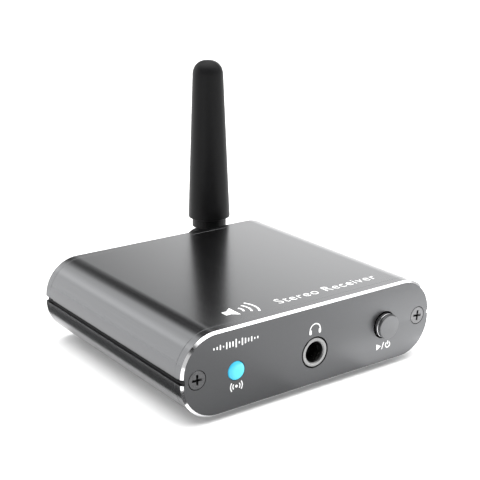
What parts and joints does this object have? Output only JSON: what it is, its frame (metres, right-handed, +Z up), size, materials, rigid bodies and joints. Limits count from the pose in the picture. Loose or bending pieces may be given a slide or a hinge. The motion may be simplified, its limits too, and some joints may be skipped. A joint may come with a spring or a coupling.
{
  "type": "bluetooth audio receiver",
  "caption": "Small metal desktop receiver that takes wireless audio to headphone and line outputs, with a folding, swivelling antenna and a push button.",
  "frame": {"origin": "on the surface it stands on, under the middle of the whole object's box", "axes": "+X to the right as seen from the front, +Y from the front panel to the antenna, +Z up"},
  "size_m": [0.055, 0.0658, 0.0494],
  "materials": {
    "case_metal": "bead-blasted gunmetal anodising with a bright cut front chamfer",
    "panel_metal": "bead-blasted gunmetal anodising",
    "button_metal": "turned and anodised",
    "screw_steel": "blackened steel",
    "bright_nickel": "nickel plated",
    "brass": "plated brass",
    "black_antenna": "satin black moulded plastic",
    "black_plastic": "moulded black plastic",
    "foot_rubber": "soft black rubber",
    "board_green": "green solder mask",
    "chip_black": "matt epoxy",
    "light_lens": "glowing cyan lens",
    "white_plastic": "white moulded plastic",
    "red_plastic": "red moulded plastic"
  },
  "bodies": {
    "case": {"case_tube": "case_metal", "front_panel": "panel_metal", "rear_panel": "panel_metal", "led_lens": "light_lens", "led_holder": "black_plastic", "led_anode_lead": "bright_nickel", "led_cathode_lead": "bright_nickel", "jack_bushing": "bright_nickel", "jack_housing": "black_plastic", "jack_tip_spring": "brass", "jack_ring_spring": "brass", "switch_body": "black_plastic", "switch_frame": "bright_nickel", "circuit_board": "board_green", "bluetooth_module_board": "board_green", "module_shield_can": "bright_nickel", "dac_chip": "chip_black", "headphone_amp_chip": "chip_black", "clock_crystal": "bright_nickel", "voltage_regulator": "chip_black", "power_inductor": "chip_black", "rca_housing": "black_plastic", "usb_shell": "bright_nickel", "usb_tongue": "black_plastic", "sma_socket": "brass", "sma_insulator": "white_plastic", "sma_contact": "brass", "front_screw_left": "screw_steel", "foot_front_left": "foot_rubber", "front_screw_right": "screw_steel", "foot_front_right": "foot_rubber", "rear_screw_left": "screw_steel", "foot_rear_left": "foot_rubber", "rear_screw_right": "screw_steel", "foot_rear_right": "foot_rubber", "capacitor_1": "bright_nickel", "capacitor_2": "bright_nickel", "capacitor_3": "bright_nickel", "capacitor_4": "bright_nickel", "rca_shell_left": "bright_nickel", "rca_insulator_left": "white_plastic", "rca_contact_left": "brass", "rca_shell_right": "bright_nickel", "rca_insulator_right": "red_plastic", "rca_contact_right": "brass"},
    "button": {"button_cap": "button_metal", "switch_plunger": "black_plastic"},
    "coupling_nut": {"coupling_nut": "bright_nickel"},
    "antenna_swivel": {"antenna_knuckle": "black_antenna", "hinge_pin": "bright_nickel", "connector_ferrule": "brass", "connector_dielectric": "white_plastic", "connector_pin": "brass"},
    "antenna": {"antenna_arm": "black_antenna", "antenna_sleeve": "black_antenna", "radiator_tube": "brass", "antenna_coax": "chip_black"}
  },
  "joints": [
    {"name": "button_press", "type": "slide", "parent": "case", "child": "button", "axis": [0, 1, 0], "range_m": [0, 0.0003], "stiffness_N_per_m": 4000, "springref_m": -0.0001},
    {"name": "nut_turn", "type": "hinge", "parent": "case", "child": "coupling_nut", "pos_m": [0.0185, 0.0205, 0.0085], "axis": [0, 1, 0], "continuous": true},
    {"name": "antenna_turn", "type": "hinge", "parent": "case", "child": "antenna_swivel", "pos_m": [0.0185, 0.02825, 0.0085], "axis": [0, 1, 0], "continuous": true},
    {"name": "antenna_tilt", "type": "hinge", "parent": "antenna_swivel", "child": "antenna", "pos_m": [0.0185, 0.02825, 0.0085], "axis": [-1, 0, 0], "range_deg": [0, 90]}
  ]
}
